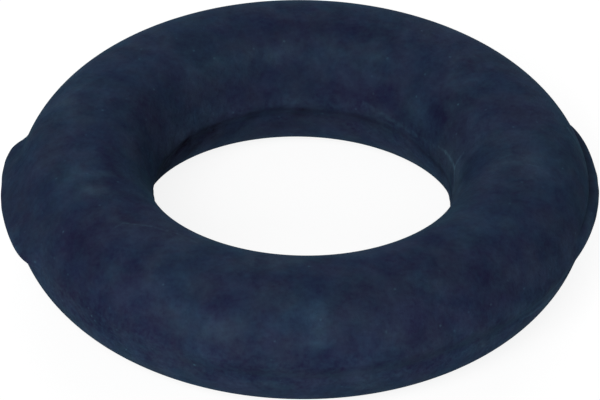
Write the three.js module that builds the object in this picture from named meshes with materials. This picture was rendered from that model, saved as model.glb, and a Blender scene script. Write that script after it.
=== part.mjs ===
// Rubber ring that hangs a car's exhaust pipe from hooks under the floor.
// One solid moulding in two mould halves. Millimetres, +Z up, the ring lying flat.
// The origin is the middle of the ring. The two grip lugs point along +X and -X.
import * as THREE from 'three';
import { mergeVertices } from 'three/addons/utils/BufferGeometryUtils.js';

// The ring, without its seam and lugs.
const OUTER_DIAMETER = 62;
const RUBBER_WIDTH = 14.9;      // from the hole's wall to the outer wall
const RUBBER_HEIGHT = 15.4;     // from the underside to the top
const REST_WIDTH = 1;           // flat band that the ring lies on, and the same on top

// The upper mould half sat a little off the lower one, so the upper half of the ring is shifted.
// The step between them faces down where the upper half stands out and up where it stands back.
const SHIFT_X = 0.28;
const SHIFT_Y = -0.7;
const STEP_BOTTOM = -0.6;
const STEP_TOP = 0.45;

// A low bead of rubber that was pressed into the gap runs along the step, outside and in the hole.
const BEAD_RISE = 0.08;
const BEAD_MIDDLE = 0.7;
const BEAD_HEIGHT = 1.3;

// Two low grip lugs on the outer wall, each of its own shape as moulded. They belong to the upper
// half and end at the step. Lengths run along the outer wall: MIDDLE from the X axis towards the
// back (+Y), FRONT and BACK from there to the ends. Seen from above a lug is bowed: a BOW of 2 is a
// plain arc, and a higher one has a flatter middle and blunter ends.
const RIGHT_LUG_RISE = 0.83;
const RIGHT_LUG_MIDDLE = 1.3;
const RIGHT_LUG_FRONT = 15.5;
const RIGHT_LUG_FRONT_BOW = 1.7;
const RIGHT_LUG_BACK = 9.7;
const RIGHT_LUG_BACK_BOW = 4.8;
const RIGHT_LUG_BOTTOM = -0.65;
const RIGHT_LUG_TOP = 2.3;
const RIGHT_LUG_EDGE = 0.6;     // height of its rounded upper and lower edge
const LEFT_LUG_RISE = 1.45;
const LEFT_LUG_MIDDLE = -0.9;
const LEFT_LUG_FRONT = 11.3;
const LEFT_LUG_FRONT_BOW = 10;
const LEFT_LUG_BACK = 10.9;
const LEFT_LUG_BACK_BOW = 10;
const LEFT_LUG_BOTTOM = -0.95;
const LEFT_LUG_TOP = 2.8;
const LEFT_LUG_EDGE = 1.65;

// Fineness of the mesh.
const STEPS_AROUND = 108;
const STEPS_PER_HALF = 24;      // along the outer or the inner half of the section
const BUNCHING = 0.62;          // how closely the steps crowd at the seam

const outerRadius = OUTER_DIAMETER / 2;
const middleRadius = outerRadius - RUBBER_WIDTH / 2;
const halfHeight = RUBBER_HEIGHT / 2;
const roundWidth = (RUBBER_WIDTH - REST_WIDTH) / 2;

// way is the sign that makes a turn towards the back positive.
const lugs = [
  {
    bearing: 0,
    way: 1,
    rise: RIGHT_LUG_RISE,
    middle: RIGHT_LUG_MIDDLE,
    front: { length: RIGHT_LUG_FRONT, bow: RIGHT_LUG_FRONT_BOW },
    back: { length: RIGHT_LUG_BACK, bow: RIGHT_LUG_BACK_BOW },
    bottom: RIGHT_LUG_BOTTOM,
    top: RIGHT_LUG_TOP,
    edge: RIGHT_LUG_EDGE,
  },
  {
    bearing: Math.PI,
    way: -1,
    rise: LEFT_LUG_RISE,
    middle: LEFT_LUG_MIDDLE,
    front: { length: LEFT_LUG_FRONT, bow: LEFT_LUG_FRONT_BOW },
    back: { length: LEFT_LUG_BACK, bow: LEFT_LUG_BACK_BOW },
    bottom: LEFT_LUG_BOTTOM,
    top: LEFT_LUG_TOP,
    edge: LEFT_LUG_EDGE,
  },
];

// 1 up to the start of the slope, then a smooth fall to 0 over the run, at the edge.
function fade(distance, edge, run) {
  return 1 - THREE.MathUtils.smoothstep(Math.abs(distance), edge - run, edge);
}

// How far the bead stands out of the wall at a height.
function beadRise(height) {
  return BEAD_RISE * fade(height - BEAD_MIDDLE, BEAD_HEIGHT / 2, BEAD_HEIGHT / 2);
}

// Half of the section, from one flat band to the other: a half ellipse with the bead.
// side is 1 for the outer half and -1 for the half that faces the hole.
function sectionHalf(side) {
  const points = [];
  for (let i = 0; i <= STEPS_PER_HALF; i += 1) {
    const even = Math.PI * (i / STEPS_PER_HALF - 0.5);
    const angle = side * (even - BUNCHING * Math.sin(2 * even) / 2);
    const height = halfHeight * Math.sin(angle);
    const reach = REST_WIDTH / 2 + roundWidth * Math.cos(angle) + beadRise(height);
    points.push(new THREE.Vector2(middleRadius + side * reach, height));
  }
  return points;
}

// The closed section turned once round the ring's axis.
function turnedRing() {
  const section = [...sectionHalf(1), ...sectionHalf(-1)];
  section.push(section[0].clone());
  return new THREE.LatheGeometry(section, STEPS_AROUND).rotateX(Math.PI / 2);
}

// How far the lugs push the outer wall out at a bearing and height.
function lugRise(bearing, height) {
  let rise = 0;
  for (const lug of lugs) {
    const turn = Math.atan2(Math.sin(bearing - lug.bearing), Math.cos(bearing - lug.bearing));
    const along = turn * lug.way * outerRadius - lug.middle;
    const half = along > 0 ? lug.back : lug.front;
    const bowed = Math.max(0, 1 - (Math.abs(along) / half.length) ** half.bow);
    const aboveMiddle = height - (lug.top + lug.bottom) / 2;
    rise += lug.rise * bowed * fade(aboveMiddle, (lug.top - lug.bottom) / 2, lug.edge);
  }
  return rise;
}

// Pushes the lugs out of the turned ring's outer wall, and slides its upper half off its lower.
function shapeMoulding(geometry) {
  const places = geometry.attributes.position;
  for (let i = 0; i < places.count; i += 1) {
    const x = places.getX(i);
    const y = places.getY(i);
    const z = places.getZ(i);
    const radius = Math.hypot(x, y);
    const bearing = Math.atan2(y, x);
    const grown = radius > middleRadius ? radius + lugRise(bearing, z) : radius;
    const slide = THREE.MathUtils.smoothstep(z, STEP_BOTTOM, STEP_TOP) - 0.5;
    places.setXYZ(i, grown * Math.cos(bearing) + slide * SHIFT_X,
      grown * Math.sin(bearing) + slide * SHIFT_Y, z);
  }
  return geometry;
}

// One closed skin: the turned ring's ends and the section's ends are joined to their twins.
function closedSkin(geometry) {
  geometry.deleteAttribute('normal');
  geometry.deleteAttribute('uv');
  const joined = mergeVertices(geometry, 1e-4);
  joined.computeVertexNormals();
  return joined;
}

const rubber = new THREE.MeshStandardMaterial({ color: 0x212b3e, roughness: 0.85, metalness: 0 });

const ring = new THREE.Mesh(closedSkin(shapeMoulding(turnedRing())), rubber);
ring.name = 'hanger_ring';

const hanger = new THREE.Group();
hanger.add(ring);

export default hanger;
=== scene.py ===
# %% [markdown]
# # A moulded exhaust hanger ring
# An exhaust pipe hangs under a car from thick rubber rings, stretched over steel hooks. This one is
# a single moulding: a round-sectioned ring with a raised seam where the two mould halves met, and
# two low grip lugs on its outer wall. It lies flat on a white table.
#
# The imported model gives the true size. Everything here is in metres, in that model's frame, with
# the origin in the middle of the ring.

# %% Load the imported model
import math

import bpy
import numpy as np
from mathutils import Matrix, Vector


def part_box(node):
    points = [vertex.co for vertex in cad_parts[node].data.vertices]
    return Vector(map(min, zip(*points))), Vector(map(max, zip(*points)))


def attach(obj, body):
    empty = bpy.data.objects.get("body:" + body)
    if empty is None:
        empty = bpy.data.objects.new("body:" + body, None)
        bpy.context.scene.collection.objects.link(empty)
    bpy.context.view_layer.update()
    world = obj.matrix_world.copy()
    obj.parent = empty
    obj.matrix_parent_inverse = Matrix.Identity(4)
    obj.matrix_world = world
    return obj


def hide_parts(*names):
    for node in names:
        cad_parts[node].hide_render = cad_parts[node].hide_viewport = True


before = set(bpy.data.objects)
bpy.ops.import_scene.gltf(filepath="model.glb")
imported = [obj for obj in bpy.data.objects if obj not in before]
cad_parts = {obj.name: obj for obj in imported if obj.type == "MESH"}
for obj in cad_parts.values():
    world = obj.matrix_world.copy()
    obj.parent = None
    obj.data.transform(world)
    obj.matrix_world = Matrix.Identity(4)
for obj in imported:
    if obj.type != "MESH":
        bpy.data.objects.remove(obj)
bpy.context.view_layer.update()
ring_low, ring_high = (np.array(corner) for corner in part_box("hanger_ring"))
scene = bpy.context.scene
MM = 0.001
FULL_TURN = 2 * math.pi
print("ring's box in mm:", np.round((ring_high - ring_low) / MM, 2))

# %% [markdown]
# ## The camera
# A ring seen from nearby looks egg-shaped: its front half grows and its back half shrinks. The
# ring in the picture hardly does, so it was taken through a long lens from far off. The camera
# could be moved until the picture looks right, but a ring is a shape that gives its own camera:
# the height above the table follows from how flat the hole's ellipse is, and the distance from
# how much nearer the front looks. The lens is then chosen so that the ring fills the frame.

# %% Place the camera
CAMERA_AZIMUTH = math.radians(-4.5)
CAMERA_ELEVATION = math.radians(36.29)
CAMERA_ROLL = math.radians(0.9)
CAMERA_DISTANCE = 0.7171
LENS_MM = 400
NEAREST_SEEN, FARTHEST_SEEN = 0.05, 10
PICTURE_WIDTH_PX = 600
CENTRE_OFFSET_PX = (1.29, 5.59)   # the ring's middle, right of and above the picture's middle


def camera_axes(azimuth, elevation):
    """Unit vectors to the camera's right, up and back, for a camera that looks at the origin."""
    back = Vector((math.sin(azimuth) * math.cos(elevation),
                   -math.cos(azimuth) * math.cos(elevation), math.sin(elevation)))
    right = Vector((math.cos(azimuth), math.sin(azimuth), 0))
    return right, back.cross(right), back


right, up, back = camera_axes(CAMERA_AZIMUTH, CAMERA_ELEVATION)
lens = bpy.data.cameras.new("long_lens")
lens.lens = LENS_MM
lens.clip_start, lens.clip_end = NEAREST_SEEN, FARTHEST_SEEN
pixel = CAMERA_DISTANCE * lens.sensor_width / LENS_MM / PICTURE_WIDTH_PX
aim = -(right * CENTRE_OFFSET_PX[0] + up * CENTRE_OFFSET_PX[1]) * pixel

camera = bpy.data.objects.new("camera", lens)
turned = Matrix((right, up, back)).transposed() @ Matrix.Rotation(CAMERA_ROLL, 3, "Z")
camera.matrix_world = Matrix.Translation(aim + back * CAMERA_DISTANCE) @ turned.to_4x4()
scene.collection.objects.link(camera)
scene.camera = camera
print("one picture pixel is", round(pixel / MM, 4), "mm at the ring")

# %% [markdown]
# ## The lamps
# Rubber this dark gives back so little light that every reflection counts. What the picture shows
# is a studio: one broad soft lamp near the camera, a little to the left, a bright wall behind that
# draws a thin pale rim along the far edge, and light from all round. Each is an area lamp. Its level
# is how bright a white card that faces it would render, so that lamps can be compared.

# %% Hang the lamps
LAMP_DISTANCE = 0.95
LAMPS = {
    "softbox": dict(azimuth=-22, elevation=38, size=0.5, level=0.90),
    "wall_behind": dict(azimuth=172, elevation=18, size=1.0, level=1.22),
}
scene.view_settings.view_transform = "Standard"


def direction(azimuth, elevation):
    """The unit vector towards a lamp, from angles in degrees that count as the camera's do."""
    a, e = math.radians(azimuth), math.radians(elevation)
    return Vector((math.sin(a) * math.cos(e), -math.cos(a) * math.cos(e), math.sin(e)))


for name, lamp in LAMPS.items():
    data = bpy.data.lights.new(name, "AREA")
    data.energy = lamp["level"] * (math.pi * LAMP_DISTANCE) ** 2
    data.size = lamp["size"]
    towards = direction(lamp["azimuth"], lamp["elevation"])
    lamp_object = bpy.data.objects.new(name, data)
    lamp_object.location = towards * LAMP_DISTANCE
    lamp_object.rotation_euler = towards.to_track_quat("Z", "Y").to_euler()
    lamp_object.visible_camera = False
    scene.collection.objects.link(lamp_object)
    print(name, round(data.energy, 1), "W")

# %% [markdown]
# ## The sky
# A plain white sky would make the ring's sides shine pale, and in the picture they don't. So the sky
# is faint, and only the camera sees it as plain white behind the ring.

# %% Dim the sky
SKY_LEVEL = 0.15

world = bpy.data.worlds.new("dim_sky")
world.use_nodes = True
nodes, links = world.node_tree.nodes, world.node_tree.links
sky = nodes["Background"]
sky.inputs["Strength"].default_value = SKY_LEVEL
seen = nodes.new("ShaderNodeBackground")
rays = nodes.new("ShaderNodeLightPath")
either = nodes.new("ShaderNodeMixShader")
for background in (sky, seen):
    background.inputs["Color"].default_value = (1, 1, 1, 1)
links.new(rays.outputs["Is Camera Ray"], either.inputs["Fac"])
links.new(sky.outputs["Background"], either.inputs[1])
links.new(seen.outputs["Background"], either.inputs[2])
links.new(either.outputs["Shader"], nodes["World Output"].inputs["Surface"])
scene.world = world
print("sky at", SKY_LEVEL, "of white")

# %% [markdown]
# ## The table
# The lower half of the ring, which faces down, is as light in the picture as its top. Only light
# from below does that, so this is a lit table: a pale sheet that glows a little. A floor bright
# enough to look pure white would drown the ring, so only what the camera sees of it directly is
# lifted to white, and enough of its own shading is left in for a soft shadow. Reflections see it
# dark, because rubber this matt shows no mirror image of its table.

# %% Lay the table
TABLE_HALF_WIDTH = 3.0

low_edge, high_edge, level = -TABLE_HALF_WIDTH, TABLE_HALF_WIDTH, float(ring_low[2])
corners = [(low_edge, low_edge, level), (high_edge, low_edge, level),
           (high_edge, high_edge, level), (low_edge, high_edge, level)]
table_mesh = bpy.data.meshes.new("table")
table_mesh.from_pydata(corners, [], [(0, 1, 2, 3)])
table = bpy.data.objects.new("table", table_mesh)
scene.collection.objects.link(table)
print("table at", round(level / MM, 2), "mm")

# %% Make the table white and let it glow
PAPER_SHADE = 0.86
PAPER_ROUGHNESS = 0.9
TABLE_GLOW = 0.38
REFLECTED_SHADE = 0.05
LIFT_TO_WHITE = 0.8

table_white = bpy.data.materials.new("white_table")
table_white.use_nodes = True
nodes, links = table_white.node_tree.nodes, table_white.node_tree.links
paper = nodes["Principled BSDF"]
paper.inputs["Base Color"].default_value = (PAPER_SHADE, PAPER_SHADE, PAPER_SHADE, 1)
paper.inputs["Roughness"].default_value = PAPER_ROUGHNESS
paper.inputs["Specular IOR Level"].default_value = 0.0
white = nodes.new("ShaderNodeEmission")
glow = nodes.new("ShaderNodeEmission")
glow.name = "table_glow"
glow.inputs["Strength"].default_value = TABLE_GLOW
lit = nodes.new("ShaderNodeAddShader")
dark = nodes.new("ShaderNodeBsdfDiffuse")
dark.inputs["Color"].default_value = (REFLECTED_SHADE, REFLECTED_SHADE, REFLECTED_SHADE, 1)
unless_glossy = nodes.new("ShaderNodeMixShader")
rays = nodes.new("ShaderNodeLightPath")
lift = nodes.new("ShaderNodeMath")
lift.operation = "MULTIPLY"
lift.inputs[1].default_value = LIFT_TO_WHITE
lifted = nodes.new("ShaderNodeMixShader")
links.new(paper.outputs["BSDF"], lit.inputs[0])
links.new(glow.outputs["Emission"], lit.inputs[1])
links.new(rays.outputs["Is Glossy Ray"], unless_glossy.inputs["Fac"])
links.new(lit.outputs["Shader"], unless_glossy.inputs[1])
links.new(dark.outputs["BSDF"], unless_glossy.inputs[2])
links.new(rays.outputs["Is Camera Ray"], lift.inputs[0])
links.new(lift.outputs["Value"], lifted.inputs["Fac"])
links.new(unless_glossy.outputs["Shader"], lifted.inputs[1])
links.new(white.outputs["Emission"], lifted.inputs[2])
links.new(lifted.outputs["Shader"], nodes["Material Output"].inputs["Surface"])
table_mesh.materials.append(table_white)
print("the table glows at", TABLE_GLOW, "of white")

# %% [markdown]
# ## The ring's shape
# The mould is two half-round grooves, closed on each other. A ready-made torus would do for a
# plain ring, but not for the seam, for the upper half that sat a little off the lower one, or for
# the lugs. So the skin is a grid of points: one way round the ring, the other way round the
# rubber's section. Every wall point is worked out from its bearing and its height, for the whole
# grid at once.

# %% Sizes of the moulding, in mm
RING_MM = dict(outer_diameter=62, width=14.9, rest_width=1.0)

# The upper half is shifted by this much to the right and to the back, over this range of heights.
SHIFT_MM = (0.28, -0.7)
STEP_MM = (-1.6, 0.6)

# Heights count from the seam: a bead of pressed-out rubber lies over it and a faint lip under it.
BEAD_MM = dict(rise=0.09, middle=0.9, half_height=0.8)
LIP_MM = dict(rise=0.05, middle=-1.8, half_height=0.6)

SLOW_UNEVENNESS, FAST_UNEVENNESS = 0.35, 0.25

# The seam's level swings by about this much, and leaves it by more at the bends:
# wall (1 outer, -1 the hole's), bearing in degrees, rise in mm, half width in degrees.
SEAM_SWING_MM = 0.10
SEAM_BENDS = [(-1, 93, 0.15, 8), (-1, 76, -0.3, 9), (-1, 28, -0.75, 15), (1, -57, 0.5, 15)]

# A lug's front and back give the length from its middle along the wall, and how blunt the end is:
# 2 is a plain arc. It rises over its bottom range of heights and falls over its top range.
LUGS_MM = {
    "right": dict(bearing=0.0, way=1, rise=0.83, middle=1.3, front=(15.5, 1.7), back=(9.7, 4.8),
                  bottom=(-0.65, -0.05), top=(1.5, 2.1), top_at_back=(1.5, 2.1)),
    "left": dict(bearing=math.pi, way=-1, rise=1.44, middle=-0.9, front=(10.9, 11), back=(10.7, 10),
                 bottom=(-1.2, 0.6), top=(0.3, 3.9), top_at_back=(1.6, 2.8)),
}
BACK_OF_LUG = (0.3, 0.8)          # shares of its length over which the top changes
GROOVE_MM = dict(depth=0.12, half_width=0.32, slope=0.32)

height_mm = float(ring_high[2] - ring_low[2]) / MM
outer_mm = RING_MM["outer_diameter"] / 2
middle_mm = outer_mm - RING_MM["width"] / 2
print("rubber", RING_MM["width"], "mm wide and", round(height_mm, 2), "mm high")

# %% Curves that the shape is made of
def fade(distance, edge, run):
    """1 near the middle, then a smooth S-shaped fall over the run that ends in 0 at the edge."""
    t = np.clip((np.abs(distance) - (edge - run)) / run, 0, 1)
    return 1 - t * t * (3 - 2 * t)


def step_up(value, start, end):
    """A smooth S-shaped rise from 0 at start to 1 at end."""
    t = np.clip((value - start) / (end - start), 0, 1)
    return t * t * (3 - 2 * t)


def turn_between(angle, centre):
    """The signed turn from centre to angle, both in radians, the short way round."""
    return np.arctan2(np.sin(angle - centre), np.cos(angle - centre))


def wander(bearing, seed, waves):
    """A gentle random swing between about -1 and 1 that closes on itself: a few sine waves round
    the ring, with whole numbers of waves and random starts."""
    dice = np.random.default_rng(seed)
    total = np.zeros_like(bearing)
    for count in range(*waves):
        total += np.sin(count * bearing + dice.uniform(0, FULL_TURN)) * dice.uniform(0.4, 1)
    return total / math.sqrt(waves[1] - waves[0])


# %% [markdown]
# ## The seam and the lugs
# Where mould halves meet, a little rubber is pressed into the gap. On a real ring that seam is
# never ruled straight: it wanders, thickens and thins. The lugs are pads for the fingers that pull
# the ring over its hook. Both are worked out as distances by which the wall is pushed out, so they
# grow from the wall, as moulded rubber does, instead of being stuck on to it.

# %% Shape the seam and the lugs
def above_seam(height, bearing, side):
    """Height above the seam, which wanders up and down a little on its way round, and leaves its
    level by more at the bends."""
    level = SEAM_SWING_MM * wander(bearing, 31, (2, 14))
    for wall, place, offset, width in SEAM_BENDS:
        turn = turn_between(bearing, math.radians(place)) / math.radians(width)
        level = level + np.where(side == wall, offset * np.exp(-turn ** 2), 0)
    return height - level


def seam_rise(from_seam, bearing):
    """How far the wall stands out at a height above the seam: the bead and the lip, each
    rise * fade(height - middle), thicker in some places than in others."""
    slow, fast = wander(bearing, 5, (7, 29)), wander(bearing, 6, (40, 90))
    uneven = 1 + SLOW_UNEVENNESS * slow + FAST_UNEVENNESS * fast
    total = np.zeros_like(from_seam)
    for ridge in (BEAD_MM, LIP_MM):
        half = ridge["half_height"]
        total += ridge["rise"] * fade(from_seam - ridge["middle"], half, half)
    return total * uneven


def along_lug(bearing, lug):
    """Distance from the lug's middle along the outer wall, as a share of the lug's length on that
    side, above 0 towards the back, and how sharply the lug is bowed there."""
    along = turn_between(bearing, lug["bearing"]) * lug["way"] * outer_mm - lug["middle"]
    length = np.where(along > 0, lug["back"][0], lug["front"][0])
    bow = np.where(along > 0, lug["back"][1], lug["front"][1])
    return along / length, bow


def lug_groove(height, bearing, half_width):
    """1 in the groove at the upper foot of the right lug, 0 away from it."""
    right_lug = LUGS_MM["right"]
    share = along_lug(bearing, right_lug)[0]
    across = fade(height - right_lug["top"][1], half_width, GROOVE_MM["slope"])
    return across * fade(share, 1.0, 0.3)


def lug_rise(height, bearing):
    """The two lugs. Along the wall each is bowed, 1 - (distance / length) ** bow, and up the wall it
    rises over its bottom range and falls over its top range, which may be another one at its back
    end. A fine groove follows the upper foot of the right one."""
    total = np.zeros_like(height)
    for lug in LUGS_MM.values():
        share, bow = along_lug(bearing, lug)
        at_back = step_up(share, *BACK_OF_LUG)
        start, end = (a + (b - a) * at_back for a, b in zip(lug["top"], lug["top_at_back"]))
        up_the_wall = step_up(height, *lug["bottom"]) * (1 - step_up(height, start, end))
        total += lug["rise"] * (1 - np.minimum(np.abs(share), 1) ** bow) * up_the_wall
    return total - GROOVE_MM["depth"] * lug_groove(height, bearing, GROOVE_MM["half_width"])


def skin_points(bearing, section, side):
    """Points of the skin, in metres, for bearings and section angles in radians. The halves of the
    section are half ellipses, rest_width apart. The seam and the lugs push the wall out, and the
    upper half is slid sideways."""
    round_mm = (RING_MM["width"] - RING_MM["rest_width"]) / 2
    height = height_mm / 2 * np.sin(section)
    reach = side * RING_MM["rest_width"] / 2 + round_mm * np.cos(section)
    from_seam = above_seam(height, bearing, side)
    proud = seam_rise(from_seam, bearing) + np.where(side > 0, lug_rise(height, bearing), 0)
    radius = middle_mm + reach + side * proud
    slide = step_up(from_seam, *STEP_MM) - 0.5
    return np.stack([radius * np.cos(bearing) + slide * SHIFT_MM[0],
                     radius * np.sin(bearing) + slide * SHIFT_MM[1], height], axis=-1) * MM


# %% Work out the ring's grid
# The points crowd at the seam, where the shape is finest.
STEPS_AROUND = 440
STEPS_PER_HALF = 109
BUNCHING = 0.62


def section_half(side):
    """Angles round half of the section from flat to flat, side 1 for the outer wall and -1 for the
    hole's: 0 at the outer wall, 90 degrees on top and 180 in the hole."""
    even = math.pi * (np.arange(STEPS_PER_HALF + 1) / STEPS_PER_HALF - 0.5)
    angle = even - BUNCHING * np.sin(2 * even) / 2
    return angle if side > 0 else math.pi + angle


section = np.concatenate([section_half(1), section_half(-1)])
side = np.repeat([1.0, -1.0], STEPS_PER_HALF + 1)
bearing = np.linspace(0, FULL_TURN, STEPS_AROUND, endpoint=False)
bearing, section = np.meshgrid(bearing, section, indexing="ij")
side = np.broadcast_to(side, section.shape)
points = skin_points(bearing, section, side)
print("grid of", points.shape[:2], "points")

# %% [markdown]
# ## From grid to mesh
# Both ways of the grid close on themselves, so each point has a neighbour on every side and the
# skin has no seam or pole to sew. The faces are listed so that they point outwards. The mesh also
# carries a map, once round the ring by once round the section, for marks that follow the surface.

# %% Build the mesh
def closed_grid_mesh(name, grid, section):
    """A mesh of four-sided faces over a grid that closes on itself both ways, and its map: the
    share of a turn round the ring, and the share of a turn round the section."""
    n_round, n_section = grid.shape[:2]
    i, j = np.meshgrid(np.arange(n_round), np.arange(n_section), indexing="ij")
    corners = [(i, j), (i + 1, j), (i + 1, j + 1), (i, j + 1)]
    index = np.stack([(a % n_round) * n_section + b % n_section for a, b in corners], axis=-1)
    turns = np.append(section, section[0] + FULL_TURN) / FULL_TURN
    share = np.stack([np.stack([a / n_round, turns[b]], axis=-1) for a, b in corners], axis=-2)
    mesh = bpy.data.meshes.new(name)
    mesh.vertices.add(n_round * n_section)
    mesh.vertices.foreach_set("co", grid.astype(np.float32).ravel())
    mesh.loops.add(index.size)
    mesh.loops.foreach_set("vertex_index", index.astype(np.int32).ravel())
    mesh.polygons.add(index.size // 4)
    mesh.polygons.foreach_set("loop_start", np.arange(0, index.size, 4, dtype=np.int32))
    layer = mesh.uv_layers.new(name="round_and_section")
    layer.uv.foreach_set("vector", share.astype(np.float32).ravel())
    mesh.update(calc_edges=True)
    mesh.validate()
    mesh.shade_smooth()
    return mesh


ring_mesh = closed_grid_mesh("rubber_ring", points, section[0])
ring = bpy.data.objects.new("rubber_ring", ring_mesh)
scene.collection.objects.link(ring)
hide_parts("hanger_ring")
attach(ring, "root")

normals = np.empty(len(ring_mesh.vertices) * 3, dtype=np.float32)
ring_mesh.vertices.foreach_get("normal", normals)
outward = np.sum(normals.reshape(-1, 3)[:, 2] * points[..., 2].ravel()) > 0
print(len(ring_mesh.polygons) * 2, "triangles, faces point outwards:", bool(outward))
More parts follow.
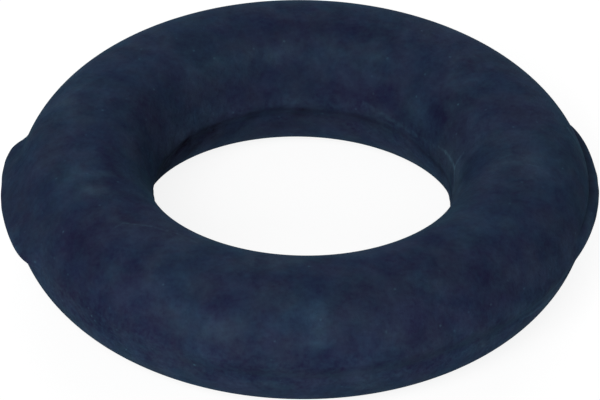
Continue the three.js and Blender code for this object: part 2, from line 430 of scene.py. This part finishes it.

# %% [markdown]
# ## Where the bloom is
# New rubber is never one black. Wax and mould powder come to its surface as a pale bloom, and
# every hand that picks the ring up wipes some of it off. Noise alone would put the pale patches
# anywhere, so the large ones of this ring are placed one by one: a soft-edged oval each, pale or
# wiped dark. Each was noted on the picture and turned into angles on the ring. They are
# worked out at the mesh's points and handed to the material as a number.

# %% List the patches of bloom, a few of them painted highlights
# Bearing and section angle in degrees, half length along the ring and half width across it in mm,
# and how much paler or darker the rubber is there.
PATCHES = [
    (-169, 84, 2.6, 1.9, 0.20), (-167, 68, 1.9, 1.3, 0.10), (-117, 35, 4.0, 1.4, 0.24),
    # On the next line, the pale patches at bearings -92 and -91 on the upper front wall are in part a
    # painted highlight from the lamp near the camera.
    (-111, 28, 1.5, 0.9, 0.10), (-92, 47, 1.4, 2.5, 0.25), (-91, 25, 1.0, 0.6, 0.22),
    (-100, 96, 2.9, 2.0, 0.12), (100, 129, 3.3, 0.9, 0.26), (113, 131, 2.5, 1.4, 0.15),
    (73, 126, 5.0, 1.2, 0.14), (57, 124, 1.7, 0.6, 0.25), (40, 154, 1.9, 1.1, 0.20),
    (7, 124, 3.4, 2.9, 0.20), (-14, 90, 1.7, 2.5, 0.28), (-14, 57, 3.0, 2.4, 0.30),
    (-7, 83, 1.8, 2.0, 0.10), (-40, 82, 2.7, 1.5, 0.14), (-66, 61, 1.4, 1.3, 0.12),
    (-52, 85, 1.5, 1.1, 0.14), (-40, 27, 2.5, 1.9, 0.14), (31, 112, 2.3, 2.1, 0.16),
    (61, 145, 1.8, 1.1, 0.12), (127, 131, 1.6, 1.5, 0.15), (165, 68, 5.3, 2.9, 0.10),
    (-130, 64, 4.1, 2.2, 0.10), (-4, 152, 4.4, 2.2, 0.20), (-31, 49, 1.8, 1.3, 0.08),
    (-170, 104, 6.4, 1.8, -0.30), (-148, 100, 1.9, 3.4, -0.22), (-149, 44, 3.3, 2.7, -0.30),
    (-133, 55, 1.5, 1.2, -0.15), (-113, 55, 2.3, 1.5, -0.20), (-91, 84, 1.7, 1.0, -0.14),
    (-89, 14, 1.5, 1.0, -0.20), (-72, 36, 1.7, 2.3, -0.12), (-53, 48, 2.0, 2.5, -0.24),
    (-49, 20, 1.4, 1.5, -0.18), (-56, 98, 1.5, 2.1, -0.24), (27, 144, 1.5, 0.9, -0.26),
    (54, 157, 3.1, 1.3, -0.20), (87, 155, 6.1, 1.3, -0.08), (87, 105, 8.5, 1.6, -0.16),
    (4, 85, 2.3, 2.9, -0.20), (153, 135, 2.7, 1.9, -0.16), (-132, 7, 3.0, 2.0, -0.09),
    (-121, 12, 2.1, 0.9, -0.12), (-28, 92, 2.1, 3.4, -0.10), (-67, 87, 4.0, 1.9, -0.10),
    # The first two patches on the next line, pale along the ledge over the seam in the hole, are a
    # painted highlight.
    (134, 166, 5.0, 1.0, 0.16), (116, 163, 3.5, 1.0, 0.12), (88, 171, 2.2, 0.7, 0.08),
    (102, 171, 2.2, 0.8, -0.12), (111, 165, 2.0, 0.8, -0.08), (-15, 11, 3.0, 0.9, 0.25),
    (-24, 12, 2.0, 1.0, 0.18), (0, 12, 3.0, 0.8, 0.10), (-164, 90, 2.2, 1.0, 0.28),
    (-147, 85, 1.6, 1.0, 0.13), (-128, 101, 1.3, 3.0, 0.12), (-176, 109, 2.0, 1.0, 0.08),
    (96, 126, 0.9, 1.1, 0.18), (84, 138, 1.1, 0.9, 0.15), (85, 115, 1.1, 1.2, 0.07),
    (66, 136, 1.3, 0.8, 0.09), (2, 92, 1.5, 1.9, 0.18), (-1, 109, 1.4, 1.1, 0.08),
    (-21, 80, 1.4, 1.7, 0.13), (-42, 112, 1.5, 2.2, 0.08), (-58, 90, 2.5, 0.9, 0.11),
    (-52, 63, 1.0, 0.8, 0.08), (-54, 38, 1.3, 0.8, 0.12), (-48, 7, 1.7, 1.2, 0.18),
    (-116, 3, 1.4, 0.9, 0.14), (-131, 3, 0.9, 0.8, 0.11), (-106, 36, 1.6, 1.8, 0.07),
    (-98, 39, 0.9, 1.4, 0.07), (-92, 27, 0.9, 0.8, 0.10), (-85, 39, 1.8, 1.2, 0.06),
    (-75, 41, 1.5, 1.0, 0.06), (-82, -7, 2.5, 1.9, 0.10), (-97, -21, 1.9, 0.8, 0.08),
    (-121, 57, 1.8, 1.3, 0.06), (-108, 90, 1.5, 1.3, 0.05), (-150, 47, 1.5, 1.5, 0.07),
    (-167, 4, 1.1, 0.8, 0.12), (158, 62, 3.2, 3.2, 0.10), (116, 85, 1.6, 1.8, 0.07),
    (133, 75, 2.0, 2.9, 0.07), (51, 90, 2.3, 1.5, 0.05), (7, 47, 4.1, 3.4, 0.07),
    (106, 160, 2.4, 0.9, -0.11), (69, 163, 2.1, 0.8, -0.14), (59, 132, 0.9, 0.8, -0.09),
    (98, 144, 0.9, 0.9, -0.07), (49, 98, 0.9, 1.0, -0.07), (37, 118, 1.3, 1.1, -0.10),
    (26, 141, 1.0, 0.8, -0.10), (11, 139, 2.1, 1.0, -0.22), (-8, 139, 3.1, 1.4, -0.22),
    (-16, 45, 2.9, 2.0, -0.15), (-15, 95, 0.9, 3.2, -0.06), (178, 27, 4.6, 1.9, -0.06),
    (-168, 30, 3.8, 2.4, -0.09), (-158, 53, 2.7, 1.1, -0.04), (-140, 9, 3.1, 1.9, -0.13),
    (-127, 15, 1.6, 1.7, -0.11), (-147, 18, 2.6, 1.4, -0.05), (-111, 37, 0.9, 1.0, -0.08),
    (-109, 17, 2.4, 0.9, -0.05), (-105, 2, 1.2, 0.8, -0.11), (-92, 2, 2.7, 0.8, -0.14),
    (-66, 24, 2.0, 0.9, -0.14), (-72, 19, 1.4, 0.8, -0.09), (-62, 41, 2.3, 1.3, -0.07),
    (-54, 24, 1.5, 0.8, -0.09), (-70, -16, 1.8, 0.9, -0.12), (-41, 21, 1.9, 2.2, -0.10),
    (-37, 40, 1.3, 1.1, -0.07), (-68, 77, 1.6, 1.0, -0.05), (171, 142, 2.1, 1.1, -0.06),
    (86, 129, 1.2, 1.1, 0.12), (96, 126, 0.8, 1.0, 0.08), (119, 155, 0.8, 0.9, 0.12),
    (58, 172, 0.8, 0.7, 0.12), (67, 135, 0.8, 0.8, 0.08), (56, 150, 0.8, 0.7, 0.08),
    (7, 167, 1.7, 1.6, 0.20), (-85, 61, 1.3, 1.3, 0.09), (-95, 70, 0.8, 1.0, 0.06),
    (-10, 102, 0.8, 1.8, 0.07), (-22, 82, 1.1, 1.0, 0.09), (-18, 59, 1.3, 0.7, 0.08),
    (-147, 90, 1.5, 0.9, 0.10), (-145, 75, 0.9, 0.7, 0.07), (-129, 8, 1.5, 0.9, 0.10),
    (-166, 6, 1.4, 1.4, 0.28), (151, 60, 1.9, 2.6, 0.10), (165, 49, 2.2, 1.6, 0.08),
    (-128, 106, 1.0, 1.4, 0.10), (-122, 102, 1.3, 2.2, 0.06), (-27, -17, 1.4, 1.6, 0.08),
    (-34, -24, 1.5, 0.9, 0.14), (-178, 110, 1.3, 0.7, 0.07), (-98, -19, 1.7, 0.9, 0.08),
    (-88, -20, 1.5, 0.8, 0.07), (-57, -11, 1.9, 2.0, 0.06), (53, 90, 1.5, 1.0, 0.06),
    (-149, 4, 1.9, 1.5, -0.10), (-140, 2, 1.6, 0.9, -0.08), (-105, -8, 1.7, 1.1, -0.09),
    (-92, -2, 1.3, 1.0, -0.08), (-77, -3, 1.9, 1.9, -0.08), (-67, -5, 1.7, 1.9, -0.09),
    (-88, 18, 1.1, 0.9, -0.09), (-87, 83, 1.0, 0.8, -0.08), (-67, 74, 1.1, 0.8, -0.09),
    (-74, 60, 0.8, 0.7, -0.08), (-53, 92, 1.2, 1.0, -0.09), (26, 139, 1.1, 0.9, -0.10),
    (12, 143, 1.3, 0.8, -0.12), (-15, 141, 3.1, 1.6, -0.12), (-9, 42, 2.4, 0.8, -0.10),
    (-13, 29, 1.7, 1.1, -0.08), (47, 151, 1.9, 0.9, -0.09), (109, 162, 1.5, 0.9, -0.08),
    (-169, 23, 3.4, 2.2, -0.07), (-160, 42, 2.6, 1.3, -0.05), (-168, 67, 1.3, 1.1, -0.08),
    (54, 175, 1.2, 0.7, -0.04), (91, 119, 0.8, 0.7, -0.10), (51, 131, 0.8, 0.7, -0.08),
    (37, 118, 1.4, 1.0, -0.06), (-54, 24, 1.0, 0.9, -0.07), (-63, 20, 2.2, 0.9, -0.05),
    (20, 107, 1.8, 2.6, -0.05), (-37, 35, 1.5, 1.3, -0.05), (-73, 24, 1.1, 1.0, -0.05),
    (117, 121, 0.8, 0.8, -0.04), (-163, 90, 1.6, 1.0, 0.14), (-36, -13, 2.0, 1.3, 0.20),
    (-30, -13, 1.6, 1.2, 0.10), (7, 38, 2.0, 1.2, 0.12), (-5, 162, 1.8, 1.3, 0.16),
    (89, 139, 1.4, 1.1, 0.12), (-50, 75, 0.9, 0.8, 0.08), (-94, 36, 1.0, 1.3, 0.06),
    (59, 173, 0.9, 0.7, 0.12), (33, 144, 1.1, 1.2, 0.08), (-146, 3, 2.2, 1.2, -0.10),
    (-138, -9, 1.6, 1.1, -0.11), (-105, -11, 1.6, 1.1, -0.09), (-91, -9, 1.4, 1.0, -0.08),
    (-52, 96, 1.3, 0.9, -0.09), (-57, 46, 1.2, 1.1, -0.08), (-9, 14, 2.2, 0.7, -0.09),
]
print(len(PATCHES), "patches of bloom")

# %% Spread the patches over the skin
RAGGED = 0.35                     # ripple of a patch's edge, as a share of its width
RIPPLE_WAVES = 12


def ripple(bearing, section, seed):
    """A smooth random swing between about -1 and 1 over the skin: waves that run round the ring
    and round the section at once, sin(m * bearing + n * section + start)."""
    dice = np.random.default_rng(seed)
    total = np.zeros_like(bearing)
    for _ in range(RIPPLE_WAVES):
        m, n = dice.integers(8, 45), dice.integers(-10, 11)
        total += np.sin(m * bearing + n * section + dice.uniform(0, FULL_TURN))
    return total / math.sqrt(RIPPLE_WAVES)


def patch_sum(patches, bearing, section):
    """The sum of the patches. Each is strength * exp(-(along / length)**2 - (across / width)**2),
    with both distances rippled by a share of the width, so that no patch is a clean oval."""
    total = np.zeros_like(bearing)
    radius = middle_mm + RING_MM["width"] / 2 * np.cos(section)
    along_ripple, across_ripple = (ripple(bearing, section, seed) for seed in (21, 22))
    for place, turn, length, width, strength in patches:
        sway = RAGGED * width
        along = turn_between(bearing, math.radians(place)) * radius + sway * along_ripple
        across = turn_between(section, math.radians(turn)) * height_mm / 2 + sway * across_ripple
        total += strength * np.exp(-(along / length) ** 2 - (across / width) ** 2)
    return total


def add_number(mesh, name, value):
    """Stores one number for each point of the mesh, which a material reads by its name."""
    layer = mesh.attributes.new(name, "FLOAT", "POINT")
    layer.data.foreach_set("value", value.astype(np.float32).ravel())
    print(name, "from", round(value.min(), 2), "to", round(value.max(), 2))


add_number(ring_mesh, "bloom_and_highlight", patch_sum(PATCHES, bearing, section))

# %% [markdown]
# ## Where the shade is painted
# The creases are painted darker, as shade that falls in them: along the seam, under the half that
# stands out, most of all in the hole, and in the groove of the right lug. Shading from lamps alone
# leaves such fine creases too pale. The painted shade follows the same curves as the shape, with a
# few soft patches of painted shadow added on the wall of the hole.

# %% Paint shade into the creases
# Painted shadow on the wall of the hole. Bearing and section angle in degrees, half length along the
# ring and half width across it in mm, how dark.
PAINTED_SHADOW_PATCHES = [
    (147, 195, 4.5, 2.6, 0.38), (132, 195, 3.5, 2.2, 0.28), (120, 198, 3.5, 1.5, 0.18),
    (100, 200, 5.0, 1.6, 0.16), (82, 201, 5.0, 1.6, 0.18), (30, 183, 2.5, 1.0, 0.16),
    (20, 184, 2.5, 1.0, 0.20), (60, 177, 3.0, 0.9, 0.10),
]
# How dark the painted shade is in each crease; the groove's grows towards its front end.
CREASE_SHADE = dict(step_outside=0.162, step_in_hole=0.216, seam_in_hole=0.1485,
               groove=0.162, groove_at_front=0.216)
SHADE_UNEVENNESS = 0.3
# In mm. Heights count from the seam. The step gets its full painted shade where it juts out this far.
STEP_SHADE = dict(middle=-0.6, half_height=1.6, slope=1.2)
SEAM_SHADE = dict(middle=-0.1, half_height=0.55, slope=0.5)
FULL_OVERHANG = 0.75
GROOVE_SHADE_HALF_WIDTH = 0.5


def crease_shade(bearing, height, side):
    """How much shade is painted into the creases. The widest is the step where the upper half stands
    out over the lower one. A fine one follows the seam all round the hole, and another lies in the
    groove of the right lug, thicker towards its front end."""
    from_seam = above_seam(height, bearing, side)
    step, seam = (fade(from_seam - band["middle"], band["half_height"], band["slope"])
                  for band in (STEP_SHADE, SEAM_SHADE))
    overhang = side * (np.cos(bearing) * SHIFT_MM[0] + np.sin(bearing) * SHIFT_MM[1])
    step = step * np.clip(overhang / FULL_OVERHANG, 0, 1)
    towards_front = step_up(turn_between(bearing, 0.0), -0.22, -0.06)
    groove = CREASE_SHADE["groove"] + CREASE_SHADE["groove_at_front"] * towards_front
    groove = groove * lug_groove(height, bearing, GROOVE_SHADE_HALF_WIDTH)
    broken = 1 + SHADE_UNEVENNESS * wander(bearing, 11, (5, 40))
    outside = CREASE_SHADE["step_outside"] * step * broken + groove
    in_hole = (CREASE_SHADE["step_in_hole"] * step + CREASE_SHADE["seam_in_hole"] * seam) * broken
    return np.where(side > 0, outside, in_hole)


height = height_mm / 2 * np.sin(section)
# Painted shade at each point of the skin: soft patches of painted shadow and the shade in the
# creases.
painted_shade = patch_sum(PAINTED_SHADOW_PATCHES, bearing, section) + crease_shade(bearing, height, side)
add_number(ring_mesh, "painted_shade", painted_shade)

# %% [markdown]
# ## Scratches and dust
# A few light scratches lie where the ring was pushed over its hook, a smear of wax runs over its
# top, and single grains of dust sit on it. Each is a short line on the skin, with a soft edge, and
# a grain of dust is a line without length. They are too fine for the mesh, so the material works
# them out: it measures how far a point of the skin is from the line.

# %% Place the scratches and the dust
# Start and end as bearing and section angle in degrees, half width in mm, strength.
LINES = [
    ((16.1, 164.1), (5.9, 162.3), 0.34, 0.6), ((5.9, 162.3), (3.3, 161.7), 0.34, 0.5),
    ((3.3, 145.7), (4.1, 161.9), 0.30, 0.6), ((4.1, 161.9), (-6.3, 171.8), 0.40, 0.6),
    ((21.8, 167.4), (14.0, 163.7), 0.26, 0.4),
    ((-144.9, 75.6), (-144.6, 86.2), 0.20, 0.30), ((-144.6, 86.2), (-138.9, 93.0), 0.22, 0.28),
    ((-138.9, 93.0), (-132.0, 101.7), 0.30, 0.20), ((-132.0, 101.7), (-125.1, 100.7), 0.30, 0.16),
    ((7.1, 44.6), (4.4, 31.6), 0.30, 0.50), ((4.4, 31.6), (-4.9, 24.3), 0.28, 0.22),
    ((62, 167), (49, 173), 0.45, 0.30), ((49, 173), (36, 174), 0.40, 0.25),
    ((36, 174), (24, 171), 0.40, 0.20),
    ((-44.4, -11.1), (-38.1, -14.6), 0.35, 0.35), ((-14.2, 89.9), (-14.4, 75.5), 0.22, 0.25),
    ((-12.1, 106.4), (-10.3, 95.9), 0.25, 0.18), ((116, 60), (104, 66), 0.2, 0.10),
]
# Bearing and section angle in degrees, radius in mm, strength.
GRAINS = [
    (-139.5, -0.2, 0.24, 1.6), (-114.8, -8.8, 0.24, 1.4), (-130.4, -19.6, 0.18, 1.3),
    (-124.0, -4.2, 0.18, 0.9), (-77.4, 29.7, 0.24, 0.9), (58.8, 156.3, 0.20, 0.9),
    (23.6, 127.3, 0.20, 0.9), (102.6, 123.8, 0.26, 0.5), (57.6, 123.8, 0.26, 0.5),
    (53.7, 89.9, 0.22, 0.6), (-154.8, 44.6, 0.20, 1.1), (94.2, 191.1, 0.22, 0.7),
    (77.8, 185.2, 0.22, 0.7), (64.9, 173.3, 0.22, 0.7), (-22.0, 88.0, 0.26, 0.6),
    (42.6, 123.8, 0.20, 0.7), (123.1, 90.1, 0.18, 0.5), (14.6, 144.4, 0.20, 0.7),
    (-31.6, 86.1, 0.22, 0.5), (-34.0, 92.0, 0.18, 0.5), (1.4, 76.5, 0.18, 0.5),
]


def on_skin(bearing_deg, section_deg):
    """The skin's point, in metres, at a bearing and a section angle in degrees."""
    side = 1.0 if abs(section_deg) <= 90 else -1.0
    angles = np.radians([bearing_deg]), np.radians([section_deg])
    return skin_points(*angles, np.array([side]))[0]


marks = [(on_skin(*start), on_skin(*end), width, strength) for start, end, width, strength in LINES]
marks += [(on_skin(a, b), on_skin(a, b), width, strength) for a, b, width, strength in GRAINS]
print(len(marks), "marks")

# %% [markdown]
# ## The rubber
# The colour runs from a deep violet-black where the rubber was wiped to a paler, greener blue where
# the bloom is thick. On top of the placed patches lies a cloudy noise with drifts, mottling and
# fine grain in one, as a photograph of such rubber shows: each finer size is a little weaker than
# the one before. The grain also raises the surface a little, as in a mould that was sand-blasted,
# and near the seam, where the mould was worn, it is coarser. Where the skin is seen edge-on, the rim
# gets more of the bloom's colour: in part powder, in part a painted sheen in place of a shine.

# %% Small tools for shader nodes
def feed(tree, value, socket):
    """Sets a socket to a plain number or colour, or links it to another node's output."""
    if isinstance(value, bpy.types.NodeSocket):
        tree.links.new(value, socket)
    else:
        socket.default_value = value


def calculate(tree, operation, *values, clamp=False):
    """The output of a math node on links or plain numbers."""
    node = tree.nodes.new("ShaderNodeMath")
    node.operation = operation
    node.use_clamp = clamp
    for value, socket in zip(values, node.inputs):
        feed(tree, value, socket)
    return node.outputs["Value"]


def smooth_range(tree, value, from_range, to_range):
    """A value's smooth S-shaped way from one range of numbers to another."""
    node = tree.nodes.new("ShaderNodeMapRange")
    node.interpolation_type = "SMOOTHSTEP"
    node.inputs["From Min"].default_value, node.inputs["From Max"].default_value = from_range
    node.inputs["To Min"].default_value, node.inputs["To Max"].default_value = to_range
    tree.links.new(value, node.inputs["Value"])
    return node.outputs["Result"]


def mix_colours(tree, factor, first, second, blend_type="MIX", beyond=False):
    """Mixes two colours, links or plain ones. Beyond lets a factor over 1 go on past the second."""
    node = tree.nodes.new("ShaderNodeMix")
    node.data_type = "RGBA"
    node.blend_type = blend_type
    node.clamp_factor = not beyond
    for name, value in (("Factor", factor), ("A", first), ("B", second)):
        feed(tree, value, node.inputs[name])
    return node.outputs["Result"]


NOISE_SPREAD = 5.0                # brings the noise's usual swing to about -1..1


def clouds(tree, coordinates, size_mm, detail, roughness):
    """A noise with features of the given size, turned to swing about 0:
    (noise - 0.5) * NOISE_SPREAD."""
    noise = tree.nodes.new("ShaderNodeTexNoise")
    noise.inputs["Scale"].default_value = 1 / (size_mm * MM)
    noise.inputs["Detail"].default_value = detail
    noise.inputs["Roughness"].default_value = roughness
    tree.links.new(coordinates, noise.inputs["Vector"])
    centred = calculate(tree, "SUBTRACT", noise.outputs["Fac"], 0.5)
    return calculate(tree, "MULTIPLY", centred, NOISE_SPREAD)


def flecks(tree, coordinates, spacing_mm, radius_mm):
    """1 on scattered round flecks, 0 between them. Random points fill the space, about one for each
    cube of the given spacing, and the skin shows those that lie nearer to it than the radius."""
    cells = tree.nodes.new("ShaderNodeTexVoronoi")
    cells.inputs["Scale"].default_value = 1 / (spacing_mm * MM)
    tree.links.new(coordinates, cells.inputs["Vector"])
    return smooth_range(tree, cells.outputs["Distance"], (0, radius_mm / spacing_mm), (1, 0))


# %% Make the soft line that all marks share
def soft_line_group():
    """A node group: how much a point belongs to the line from Start to End. With t the share of
    the way along the line that is nearest to the point, clamped to 0..1, it gives
    1 - smoothstep(|Point - Start - t (End - Start)| / Width), times Strength."""
    group = bpy.data.node_groups.new("soft_line", "ShaderNodeTree")
    for name in ("Point", "Start", "End"):
        group.interface.new_socket(name, in_out="INPUT", socket_type="NodeSocketVector")
    for name in ("Width", "Strength"):
        group.interface.new_socket(name, in_out="INPUT", socket_type="NodeSocketFloat")
    group.interface.new_socket("Value", in_out="OUTPUT", socket_type="NodeSocketFloat")
    given = group.nodes.new("NodeGroupInput").outputs
    result = group.nodes.new("NodeGroupOutput").inputs

    def vector(operation, *values):
        """The outputs of a vector math node on links."""
        node = group.nodes.new("ShaderNodeVectorMath")
        node.operation = operation
        for value, socket in zip(values, node.inputs):
            group.links.new(value, socket)
        return node.outputs

    line = vector("SUBTRACT", given["End"], given["Start"])["Vector"]
    away = vector("SUBTRACT", given["Point"], given["Start"])["Vector"]
    reach = calculate(group, "MAXIMUM", vector("DOT_PRODUCT", line, line)["Value"], 1e-12)
    forward = vector("DOT_PRODUCT", away, line)["Value"]
    share = calculate(group, "DIVIDE", forward, reach, clamp=True)
    nearest = group.nodes.new("ShaderNodeVectorMath")
    nearest.operation = "SCALE"
    group.links.new(line, nearest.inputs[0])
    group.links.new(share, nearest.inputs["Scale"])
    gap = vector("DISTANCE", away, nearest.outputs["Vector"])["Value"]
    soft = smooth_range(group, calculate(group, "DIVIDE", gap, given["Width"]), (0, 1), (1, 0))
    group.links.new(calculate(group, "MULTIPLY", soft, given["Strength"]), result["Value"])
    return group


soft_line = soft_line_group()
print(len(soft_line.nodes), "nodes in the soft line")

# %% Work out how much bloom shows
TYPICAL_BLOOM = 0.335
CLOUD = dict(size_mm=2.6, detail=4, roughness=0.66)
CLOUD_SHARE = 0.225
GRAIN = dict(size_mm=0.5, detail=2, roughness=0.6)
GRAIN_SHARE = (0.09, 0.20)        # away from the seam, and at it
WORN_BAND_MM = (3.5, 0.5)         # distances from the seam where the coarser grain starts and is full
SEAM_DEPTH_MM = 0.8               # the middle of that band, below the ring's middle
# How sharply and how strongly the edge-on rim is paled: in part powder, in part a painted sheen.
RIM_POWER, RIM_SHEEN_SHARE = 3.5, 0.8
PATCH_LEVEL, PATCH_MOTTLING = 1.15, 0.55
FLECKS = dict(spacing_mm=2.2, radius_mm=0.22)
FLECK_SHARE = 0.8

rubber = bpy.data.materials.new("blue_black_rubber")
rubber.use_nodes = True
tree = rubber.node_tree
place = tree.nodes.new("ShaderNodeTexCoord").outputs["Object"]
cloud = clouds(tree, place, **CLOUD)
grain = clouds(tree, place, **GRAIN)
placed = tree.nodes.new("ShaderNodeAttribute")
placed.attribute_name = "bloom_and_highlight"
axes = tree.nodes.new("ShaderNodeSeparateXYZ")
tree.links.new(place, axes.inputs["Vector"])
rim = tree.nodes.new("ShaderNodeLayerWeight")

above_band = calculate(tree, "ADD", axes.outputs["Z"], SEAM_DEPTH_MM * MM)
band_distance = calculate(tree, "ABSOLUTE", above_band)
grain_share = smooth_range(tree, band_distance, [mm * MM for mm in WORN_BAND_MM], GRAIN_SHARE)
edge_on_sheen = calculate(tree, "POWER", rim.outputs["Facing"], RIM_POWER)
mottled = calculate(tree, "MULTIPLY_ADD", cloud, PATCH_MOTTLING, PATCH_LEVEL)
amount = calculate(tree, "MULTIPLY_ADD", cloud, CLOUD_SHARE, TYPICAL_BLOOM)
# Painted sheen, in part powder: more of the bloom's colour where the skin is seen edge-on.
amount = calculate(tree, "MULTIPLY_ADD", edge_on_sheen, RIM_SHEEN_SHARE, amount)
amount = calculate(tree, "MULTIPLY_ADD", grain, grain_share, amount)
amount = calculate(tree, "MULTIPLY_ADD", placed.outputs["Fac"], mottled, amount)
amount = calculate(tree, "MULTIPLY_ADD", flecks(tree, place, **FLECKS), FLECK_SHARE, amount)
print(len(tree.nodes), "nodes for the bloom")

# %% Add the scratches and the dust
MARK_MOTTLING = 0.5
MOST_BLOOM = 2.2

broken = calculate(tree, "MULTIPLY_ADD", grain, MARK_MOTTLING, 1.0)
for start, end, width, strength in marks:
    mark = tree.nodes.new("ShaderNodeGroup")
    mark.node_tree = soft_line
    given = dict(Point=place, Start=start, End=end, Width=width * MM, Strength=strength)
    for name, value in given.items():
        feed(tree, value, mark.inputs[name])
    amount = calculate(tree, "MULTIPLY_ADD", mark.outputs["Value"], broken, amount)
amount = calculate(tree, "MINIMUM", calculate(tree, "MAXIMUM", amount, 0.0), MOST_BLOOM)
print(len(tree.nodes), "nodes with the marks")

# %% [markdown]
# ## The rubber's colour
# One colour for wiped rubber and one for full bloom give all shades between by mixing. Real rubber
# drifts in hue as well, by a tenth or so, and its red and its blue drift apart from each other.
# Painted shade goes over all of it as a warmer black, darkest in the creases.

# %% Colour the rubber
WIPED = (0.0110, 0.0125, 0.0350, 1)
BLOOMED = (0.0246, 0.0465, 0.0782, 1)
# The warm near-black of the painted shade.
SHADE_BLACK = (0.0052, 0.0027, 0.0085, 1)
TINTS = {
    "Red": dict(size_mm=5, least=0.890, most=1.120),
    "Blue": dict(size_mm=4, least=0.955, most=1.045),
}
SHADE_MOTTLING = 0.45

tint = tree.nodes.new("ShaderNodeCombineColor")
tint.inputs["Green"].default_value = 1
for name, drift in TINTS.items():
    cloudy = clouds(tree, place, drift["size_mm"], 3, roughness=0.65)
    share = calculate(tree, "ADD", cloudy, 0.5, clamp=True)
    span = drift["most"] - drift["least"]
    tree.links.new(calculate(tree, "MULTIPLY_ADD", share, span, drift["least"]), tint.inputs[name])

# The painted shade pulls the colour towards that near-black, mottled by the grain.
painted_shade = tree.nodes.new("ShaderNodeAttribute")
painted_shade.attribute_name = "painted_shade"
spotted = calculate(tree, "MULTIPLY_ADD", grain, SHADE_MOTTLING, 1.0)
shaded = calculate(tree, "MULTIPLY", painted_shade.outputs["Fac"], spotted, clamp=True)
colour = mix_colours(tree, amount, WIPED, BLOOMED, beyond=True)
colour = mix_colours(tree, 1, colour, tint.outputs["Color"], blend_type="MULTIPLY")
colour = mix_colours(tree, shaded, colour, SHADE_BLACK)

skin = tree.nodes["Principled BSDF"]
tree.links.new(colour, skin.inputs["Base Color"])
print("wiped", WIPED[:3], "bloomed", BLOOMED[:3])

# %% [markdown]
# ## The rubber's surface
# A sand-blasted mould leaves rubber that hardly mirrors anything. Its shine is almost off, its
# roughness drifts a little with the bloom, and the grain raises it by a fiftieth of a millimetre,
# which is too fine for the mesh.

# %% Finish the surface
SHINE = 0.001
ROUGHNESS, ROUGHNESS_DRIFT = 0.55, 0.08
GRAIN_HEIGHT_MM = 0.02

skin.inputs["Specular IOR Level"].default_value = SHINE
roughness = calculate(tree, "MULTIPLY_ADD", cloud, ROUGHNESS_DRIFT, ROUGHNESS)
tree.links.new(roughness, skin.inputs["Roughness"])
bump = tree.nodes.new("ShaderNodeBump")
bump.inputs["Distance"].default_value = GRAIN_HEIGHT_MM * MM
tree.links.new(grain, bump.inputs["Height"])
tree.links.new(bump.outputs["Normal"], skin.inputs["Normal"])
ring_mesh.materials.append(rubber)
print(len(tree.nodes), "nodes in the rubber")
